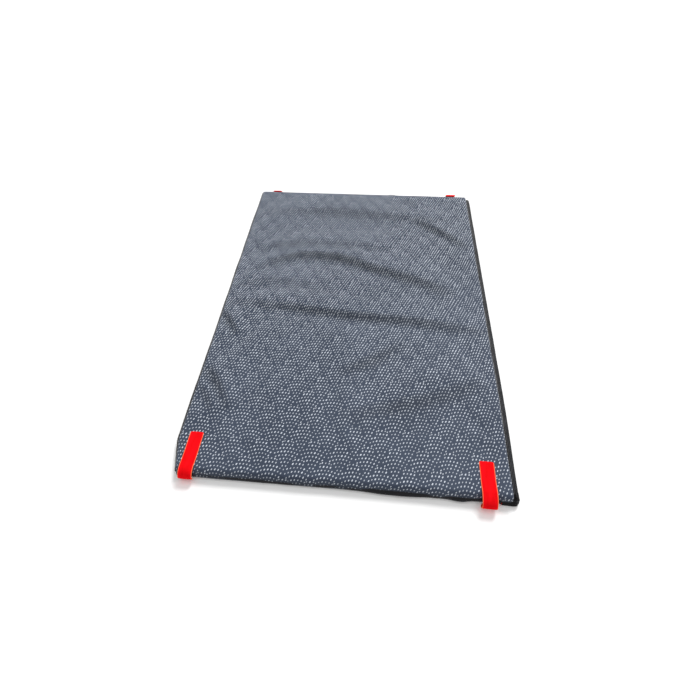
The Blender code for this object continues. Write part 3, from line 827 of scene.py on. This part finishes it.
def tube(name, points, radius, sides, finish):
    """A round cord along the points, closed at both ends."""
    bm = bmesh.new()
    flat = bm.loops.layers.uv.new("Flat")
    ring = bmesh.ops.create_circle(bm, cap_ends=True, segments=sides, radius=radius)["verts"]
    bmesh.ops.rotate(bm, verts=ring, cent=(0, 0, 0), matrix=TURN_TO_Y)
    bmesh.ops.translate(bm, verts=ring, vec=points[0])
    edges = [edge for edge in bm.edges if edge.is_boundary]
    for a, b in zip(points, points[1:]):
        made = bmesh.ops.extrude_edge_only(bm, edges=edges)["geom"]
        verts = [item for item in made if isinstance(item, bmesh.types.BMVert)]
        edges = [item for item in made if isinstance(item, bmesh.types.BMEdge) and item.is_boundary]
        bmesh.ops.translate(bm, verts=verts, vec=b - a)
    bmesh.ops.contextual_create(bm, geom=edges)
    bmesh.ops.remove_doubles(bm, verts=bm.verts, dist=1e-6)
    lay_flat(bm, flat, {vert: (vert.co.x + vert.co.z, vert.co.y) for vert in bm.verts})
    return new_object(name, bm, finish)


def strip(name, across, along, place, finish, thick):
    """A woven strip. across and along are its flat coordinates, and place puts each pair where it lies."""
    bm, places, flat = new_grid(len(across) - 1, len(along) - 1)
    laid = {}
    for vert, (column, row) in places.items():
        laid[vert] = (across[column], along[row])
        vert.co = place(*laid[vert])
    lay_flat(bm, flat, laid)
    bmesh.ops.recalc_face_normals(bm, faces=bm.faces)
    bmesh.ops.solidify(bm, geom=bm.faces, thickness=thick)
    return new_object(name, bm, finish)


# ---------------- the two panels

WADDING_THICK = 0.0118
SKIN = 0.0012
HEM = 0.012
SIDE_TUCK = 0.0045


def store_painted_shade(piece):
    """Stores the weight of painted shade over the cover, for its finish: on the near slopes of the creases
    and low on the end sides.
    """
    x, y, z = np.array([vert.co for vert in piece.data.vertices]).T
    depth = sum(crease(x, y, *shape, painted_slope_shade=True) for shape in CREASES)
    # Painted shade low down on the near and far end sides, where they turn towards the floor.
    depth += 1.3 * (1 - ramp(z, 0.010, 0.036)) * (np.abs(y) > 0.88)
    layer = piece.data.attributes.new("fold", "FLOAT", "POINT")
    layer.data.foreach_set("value", np.clip(depth, 0, 1).astype(np.float32))


def build_panels():
    """Each panel's cover and its pad of wadding."""
    round_side = side_profile(PANEL_THICK, shoulder=0.014, shoulder_drop=0.012, foot=0.003, hem=HEM)
    upper = wrapped_panel(
        "upper_cover_fabric", UPPER_LOW, UPPER_HIGH, 1, round_side, 0.008,
        upper_relief, upper_sway, "dotted_fabric", skirt=upper_skirt, tuck=SIDE_TUCK,
    )
    store_painted_shade(upper)
    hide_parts("upper_cover")
    square_side = side_profile(PANEL_THICK, shoulder=0.008, shoulder_drop=0.006, foot=0.004, hem=HEM)
    lower = wrapped_panel(
        "lower_cover_fabric", LOWER_LOW, LOWER_HIGH, -1, square_side, 0.012,
        level, lower_sway, "black_nylon",
    )
    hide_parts("lower_cover")
    pad_side = side_profile(WADDING_THICK, shoulder=0.012, shoulder_drop=0.0085, foot=0.002, hem=0.004)
    upper_pad = wrapped_panel(
        "upper_wadding_pad", UPPER_LOW, UPPER_HIGH, 1, pad_side, 0.018,
        lambda x, y: upper_relief(x, y) - SKIN / 2, level, "white_wadding",
        inset=2 * SKIN, tuck=SIDE_TUCK,
    )
    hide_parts("upper_wadding")
    lower_pad = wrapped_panel(
        "lower_wadding_pad", LOWER_LOW, LOWER_HIGH, -1, pad_side, 0.030,
        level, level, "white_wadding", inset=2 * SKIN,
    )
    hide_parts("lower_wadding")
    for piece, panel in ((upper, "upper"), (lower, "lower"), (upper_pad, "upper"), (lower_pad, "lower")):
        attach(piece, panel + "_panel")


def build_lining(panel, facing):
    """The panel's inner face: wipe-clean cloth that puffs a little between its rows of stitches."""
    low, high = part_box(panel + "_lining")
    if panel == "upper":
        high.x -= SIDE_TUCK
    across = np.linspace(low.x + 0.0005, high.x - 0.0005, 15 * 6 + 1)
    along = np.linspace(low.y + 0.0005, high.y - 0.0005, 61)
    face = high.z if facing > 0 else low.z

    def place(x, y):
        channel = abs(math.sin(math.pi * x / QUILT_PITCH + math.pi / 2)) ** 0.5
        ends = ramp(min(abs(y - low.y), abs(high.y - y)), 0.0, 0.03)
        sides = ramp(min(x - low.x, high.x - x), 0.0, 0.05)
        return Vector((x, y, face + facing * (0.0001 + 0.0007 * channel * ends * sides)))

    piece = strip(panel + "_lining_cloth", across, along, place, "waterproof_lining", 0.0008 * facing)
    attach(piece, panel + "_panel")
    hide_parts(panel + "_lining")


def build_sheet(panel, layer, finish):
    """The foil or the felt inside a panel, lying with a slight ripple."""
    node = f"{panel}_{layer}"
    low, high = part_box(node)
    thick = high.z - low.z
    right = high.x - (SIDE_TUCK if panel == "upper" else 0.0) - 0.002
    across = np.linspace(low.x + 0.001, right, 61)
    along = np.linspace(low.y + 0.001, high.y - 0.001, 91)
    middle = (low.z + high.z) / 2 + thick * 0.35

    def place(x, y):
        return Vector((x, y, middle + 0.0001 * waver(x * 30.0, y * 30.0, 7.0)))

    piece = strip(f"{node}_sheet", across, along, place, finish, thick * 0.7)
    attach(piece, panel + "_panel")
    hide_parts(node)


# ---------------- edges


def build_fold_tape():
    """The black tape over the outside of the fold. It covers the cord."""
    centre = (PIPING_LOW + PIPING_HIGH) / 2
    side = UPPER_LOW.x + 0.0006
    section = smooth_path(
        [(side, 0.009), (side - 0.0022, 0.0125), (side - 0.0072, 0.0165), (side - 0.0098, centre.z),
         (side - 0.0076, 0.0278), (side - 0.0026, 0.0320), (side, 0.0360)], 5,
    )
    lengths = arc_lengths(section)
    along = np.linspace(LOWER_LOW.y + 0.006, LOWER_HIGH.y - 0.006, 200)

    def place(distance, y):
        x, z = point_at(distance, lengths, section)
        proud = math.sin(math.pi * distance / lengths[-1])
        x += proud * 0.0022 * waver(y * 7.0, 0.3, 0.0)
        x += proud * 0.0008 * waver(y * 31.0, distance * 50.0, 4.0)
        z += proud * 0.0012 * waver(y * 9.0, 4.7, 0.0)
        return Vector((x, y, z))

    tape = strip("fold_tape", lengths, along, place, "black_satin", 0.0005)
    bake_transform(tape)


def build_piping():
    """The filled cord along the fold, and the folded tape that joins both panels to it."""
    centre = (PIPING_LOW + PIPING_HIGH) / 2
    points = [
        Vector((
            centre.x + 0.0006 * waver(y * 7.0, 0.3, 0.0),
            y,
            centre.z + 0.0004 * waver(y * 9.0, 4.7, 0.0),
        ))
        for y in np.linspace(PIPING_LOW.y, PIPING_HIGH.y, 150)
    ]
    cord = tube("seam_piping_cord", points, 0.0029, 12, "black_satin")
    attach(cord, "lower_panel")
    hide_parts("seam_piping")
    lining_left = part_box("lower_lining")[0].x
    low_z, high_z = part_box("lower_lining")[1].z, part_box("upper_lining")[0].z
    middle = (low_z + high_z) / 2
    half = (high_z - low_z) / 2 - 0.0003
    reach = 0.016
    course = [(lining_left + reach * (1 - t), low_z + 0.0003) for t in np.linspace(0, 1, 7)[:-1]]
    course += [
        (lining_left - 0.001 - 0.0012 * math.cos(angle), middle + half * math.sin(angle))
        for angle in np.linspace(-math.pi / 2, math.pi / 2, 11)
    ]
    course += [(lining_left + reach * t, high_z - 0.0003) for t in np.linspace(0, 1, 7)[1:]]
    course = np.array(course)
    lengths = arc_lengths(course)
    ends = np.linspace(LOWER_LOW.y + 0.012, LOWER_HIGH.y - 0.012, 81)

    def place(distance, y):
        x, z = point_at(distance, lengths, course)
        return Vector((x, y, z))

    gusset = strip("fold_gusset", lengths, ends, place, "black_nylon", 0.0004)
    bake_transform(gusset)


def binding_section():
    """(outward from the side, height) points of the binding: three ribs on top, four down the side."""
    top = LOWER_HIGH.z
    width = LOWER_HIGH.x - UPPER_HIGH.x + SIDE_TUCK
    section = [(-width - 0.008, top + 0.0003), (-width - 0.003, top + 0.0005)]
    rib = width / 4
    for index in range(4):
        for share, lift in ((0.12, 0.0004), (0.4, 0.0021), (0.7, 0.0021), (0.96, 0.0003)):
            section.append((-width + rib * (index + share), top + lift - 0.0005 * index))
    rib = (top - 0.003) / 4
    for index in range(4):
        for share, out in ((0.04, 0.0003), (0.3, 0.0024), (0.7, 0.0026), (0.96, 0.0005)):
            section.append((out, top - 0.0015 - rib * (index + share)))
    section += [(-0.002, 0.0010), (-0.009, 0.0007)]
    return smooth_path(section, 3)


def build_binding():
    """The ribbed tape folded round the lower panel's open side and its near corner."""
    section = binding_section()
    lengths = arc_lengths(section)
    side, near, far = LOWER_HIGH.x, LOWER_LOW.y, LOWER_HIGH.y - 0.004
    turn = 0.016
    straight = far - near - turn
    arc = turn * math.pi / 2
    strap_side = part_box("strap_near_right_leg")[1].x
    total = straight + arc + (side - turn - strap_side - 0.006)
    along = np.concatenate([
        np.linspace(0, straight, 240)[:-1],
        np.linspace(straight, straight + arc, 14)[:-1],
        np.linspace(straight + arc, total, 12),
    ])

    def place(distance, way):
        out, z = point_at(distance, lengths, section)
        share = distance / lengths[-1]
        low_down = ramp(share, 0.45, 0.6)
        corner = math.exp(-(((way - straight - arc / 2) / 0.030) ** 2))
        out += low_down * (0.0005 * ramp(way, straight * 0.4, straight) + 0.002 * corner)
        out += low_down * 0.0016 * waver(way * 8.0, 1.1, 0.0)
        out += 0.0015 * corner * waver(way * 160.0, distance * 120.0, 3.0)
        z += 0.0007 * waver(way * 26.0, distance * 90.0, 2.0)
        z += 0.0012 * corner * (1 - low_down)
        tuck = 1 - ramp(min(way, total - way), 0.0, 0.012)
        out -= 0.005 * tuck * low_down
        z = max(z, 0.0008)
        if way <= straight:
            return Vector((side + out, far - way, z))
        if way >= straight + arc:
            return Vector((side - turn - (way - straight - arc), near - out, z))
        angle = (way - straight) / turn
        radius = turn + out if out > 0 else turn * math.exp(out / turn)
        return Vector((side - turn + radius * math.cos(angle), near + turn - radius * math.sin(angle), z))

    tape = strip("side_binding", lengths, along, place, "black_satin", 0.0007)
    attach(tape, "lower_panel")


def build_bar_tack():
    """A short row of red stitches that ends the binding beside the strap."""
    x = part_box("strap_near_right_leg")[1].x + 0.010
    bm = bmesh.new()
    bm.loops.layers.uv.new("Flat")
    for z in np.arange(0.003, 0.021, 0.0042):
        made = bmesh.ops.create_cone(
            bm, cap_ends=True, segments=8, radius1=0.0005, radius2=0.0005, depth=0.003
        )["verts"]
        bmesh.ops.translate(bm, verts=made, vec=(x, LOWER_LOW.y - 0.0062, z))
    bmesh.ops.bevel(
        bm, geom=[e for e in bm.edges if len({v.co.z for v in e.verts}) == 1], offset=0.0002,
        segments=1, affect="EDGES", profile=0.5, material=-1,
    )
    tack = new_object("corner_bar_tack", bm, "red_loop_tape")
    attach(tack, "lower_panel")


# ---------------- tapes


def tape_over(name, node, finish, body, facing):
    """A hook or loop tape in place of its plain solid: a raised field between two thin selvedges."""
    low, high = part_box(node)
    wide, long, deep = (0, 1, 2) if facing.z else (2, 0, 1)
    middle, half = (low[wide] + high[wide]) / 2, (high[wide] - low[wide]) / 2
    length, thick = high[long] - low[long], high[deep] - low[deep]
    base = low[deep] if facing[deep] > 0 else high[deep]
    shares = (-1.0, -0.94, -0.86, -0.8, -0.5, 0.0, 0.5, 0.8, 0.86, 0.94, 1.0)
    across = [share * half for share in shares]
    along = np.linspace(low[long], high[long], max(9, round(length / 0.02)))

    def place(offset, distance):
        raised = 1 - ramp(abs(offset) / half, 0.80, 0.87)
        point = facing * thick * (0.4 + 0.55 * raised)
        point[wide], point[long], point[deep] = middle + offset, distance, base + point[deep]
        return point

    piece = strip(name, across, along, place, finish, 0.3 * thick)
    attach(piece, body)
    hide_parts(node)


# Each strap: how far its sewn end reaches in, how far it stands off the end face, and the angle of its tip.
STRAP_SHAPES = {
    "near_left": (0.152, 0.018, -66),
    "near_right": (0.124, 0.030, -74),
    "far_left": (0.010, 0.012, -60),
    "far_right": (0.010, 0.024, -64),
}
STRAP_DRIFT = {"near_left": 0.009, "near_right": -0.005}
STRAP_PILE = 0.0022
STRAP_LIFT = 0.0013
BEND_START = 0.009


def strap_course(name, centre_x, end):
    """The strap's middle line as (outward, height) points, from its sewn end to its tip."""
    tab, bulge, tip = STRAP_SHAPES[name]
    reach = bulge + BEND_START
    half_height = (TOP - 0.004) / 2 + 0.0003
    middle = TOP + STRAP_LIFT - half_height
    points = []
    for inward in np.linspace(tab, BEND_START, max(4, round(tab / 0.004))):
        y = end * (END - inward)
        rise = upper_relief(np.array([centre_x]), np.array([y]))[0] * ramp(inward, 0.010, 0.03)
        points.append((-inward, TOP + STRAP_LIFT + rise))
    for angle in np.linspace(90, tip, 34)[1:]:
        turn = math.radians(angle)
        points.append((reach * math.cos(turn) - BEND_START, middle + half_height * math.sin(turn)))
    return np.array(points)


def rest_on_cover(piece):
    """Lifts a strap's sewn part wherever the cover would come through it, and keeps its tip off the floor."""
    x, y, z = np.array([vert.co for vert in piece.data.vertices]).T
    over = ramp(END - np.abs(y), 0.002, 0.014)
    least = TOP + upper_relief(x, y) + 0.0006
    z = z + over * np.maximum(least - z, 0) + over * 0.0010
    for vert, height in zip(piece.data.vertices, np.maximum(z, 0.0006)):
        vert.co.z = height


def build_strap(name):
    """One red strap: sewn down on the upper panel, round the end and down over its patch of hook tape."""
    end = -1 if name.startswith("near") else 1
    tab_node, leg_node = f"strap_{name}_tab", f"strap_{name}_leg"
    low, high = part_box(leg_node)
    centre_x = (low.x + high.x) / 2 + STRAP_DRIFT.get(name, 0.0)
    course = strap_course(name, centre_x, end)
    lengths = arc_lengths(course)
    total = lengths[-1]
    side = np.array([1.0, 0.985, 0.95, 0.9, 0.84])
    across = STRAP_HALF_WIDTH * np.concatenate([-side, np.linspace(-0.76, 0.76, 11), side[::-1]])
    along = np.linspace(0, total, round(total / 0.003))

    def place(offset, distance):
        cuts = []
        for corner in (0.006, 0.014):
            over = max(abs(offset) - (STRAP_HALF_WIDTH - corner), 0.0)
            cuts.append(corner - math.sqrt(max(corner * corner - over * over, 0.0)))
        distance = cuts[0] + distance * (total - sum(cuts)) / total
        out, height = point_at(distance, lengths, course)
        ahead = min(distance + 0.001, total)
        slope = point_at(ahead, lengths, course) - point_at(ahead - 0.002, lengths, course)
        size = math.hypot(*slope)
        normal = (-slope[1] / size, slope[0] / size)
        crown = -0.0009 * (abs(offset) / STRAP_HALF_WIDTH) ** 4
        out += normal[0] * crown
        height += normal[1] * crown
        curl = 1 - 0.07 * ramp(distance, total - 0.022, total - 0.004)
        sway = offset * (curl - 1) + 0.0012 * waver(distance * 18.0, centre_x * 5.0, 0.4)
        return Vector((centre_x + offset + sway, end * (END + out), height))

    piece = strip(f"strap_{name}_tape", across, along, place, "red_loop_tape", STRAP_PILE)
    rest_on_cover(piece)
    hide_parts(tab_node, leg_node)
    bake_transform(piece)
    tape_over(
        f"strap_{name}_hook_patch", f"strap_{name}_patch", "black_hook_tape", "lower_panel",
        Vector((0, end, 0)),
    )


# ---------------- the carried-over solids


def paint_solids():
    """The plain solids that stay take the finish of their slot in the record."""
    for node in NODES.values():
        for slot in node.material_slots:
            slot.material = FINISHES[slot.material.name.split(".")[0]]


# ---------------- studio


def build_studio():
    """The floor, the pale surroundings, two soft lights and the camera."""
    bm = bmesh.new()
    bmesh.ops.create_grid(bm, x_segments=2, y_segments=2, size=30.0)
    bmesh.ops.translate(bm, verts=bm.verts, vec=(9.0, 4.0, -0.0005))
    floor = add_mesh("floor", bm)
    material = new_material(
        "floor_visual", Roughness=0.9, Specular_IOR_Level=0.1, Base_Color=(0.86, 0.86, 0.86, 1),
        Emission_Color=(1.0, 1.0, 1.0, 1), Emission_Strength=0.10,
    )[0]
    floor.data.materials.append(material)
    world = bpy.data.worlds.new("studio")
    world.use_nodes = True
    world.node_tree.nodes["Background"].inputs["Color"].default_value = (1.0, 1.0, 1.0, 1)
    tree = Tree(world.node_tree)
    seen = tree.node("LightPath", "Is Camera Ray")
    put(tree.tree, world.node_tree.nodes["Background"].inputs["Strength"], seen * 0.34 + 0.60)
    SCENE.world = world
    for name, source, spread, strength in (
        ("key_light", (0.30, 0.95, 0.95), 24, 2.7),
        ("fill_light", (0.2, -0.1, 1.2), 50, 0.4),
    ):
        light = bpy.data.lights.new(name, "SUN")
        light.angle = math.radians(spread)
        light.energy = strength
        add(name, light).rotation_euler = Vector(source).to_track_quat("Z", "Y").to_euler()
    camera = bpy.data.cameras.new("camera")
    camera.sensor_width = 36
    camera.lens = 26.97
    camera.shift_x = 0.066
    camera.clip_start = 0.05
    holder = add("camera", camera)
    holder.location = (0.055, -1.756, 1.545)
    holder.rotation_euler = [math.radians(angle) for angle in (43.92, 2.18, 7.11)]
    SCENE.camera = holder
    SCENE.view_settings.view_transform = "Standard"


build_panels()
build_lining("upper", -1)
build_lining("lower", 1)
for panel in ("upper", "lower"):
    build_sheet(panel, "foil", "reflective_foil")
    build_sheet(panel, "felt", "carrier_felt")
build_piping()
build_fold_tape()
build_binding()
build_bar_tack()
for strap in STRAP_SHAPES:
    build_strap(strap)
tape_over("side_hook_tape", "side_hook_strip", "black_hook_tape", "lower_panel", Vector((0, 0, 1)))
tape_over("side_loop_tape", "side_loop_strip", "black_nylon", "upper_panel", Vector((0, 0, -1)))
paint_solids()
build_studio()
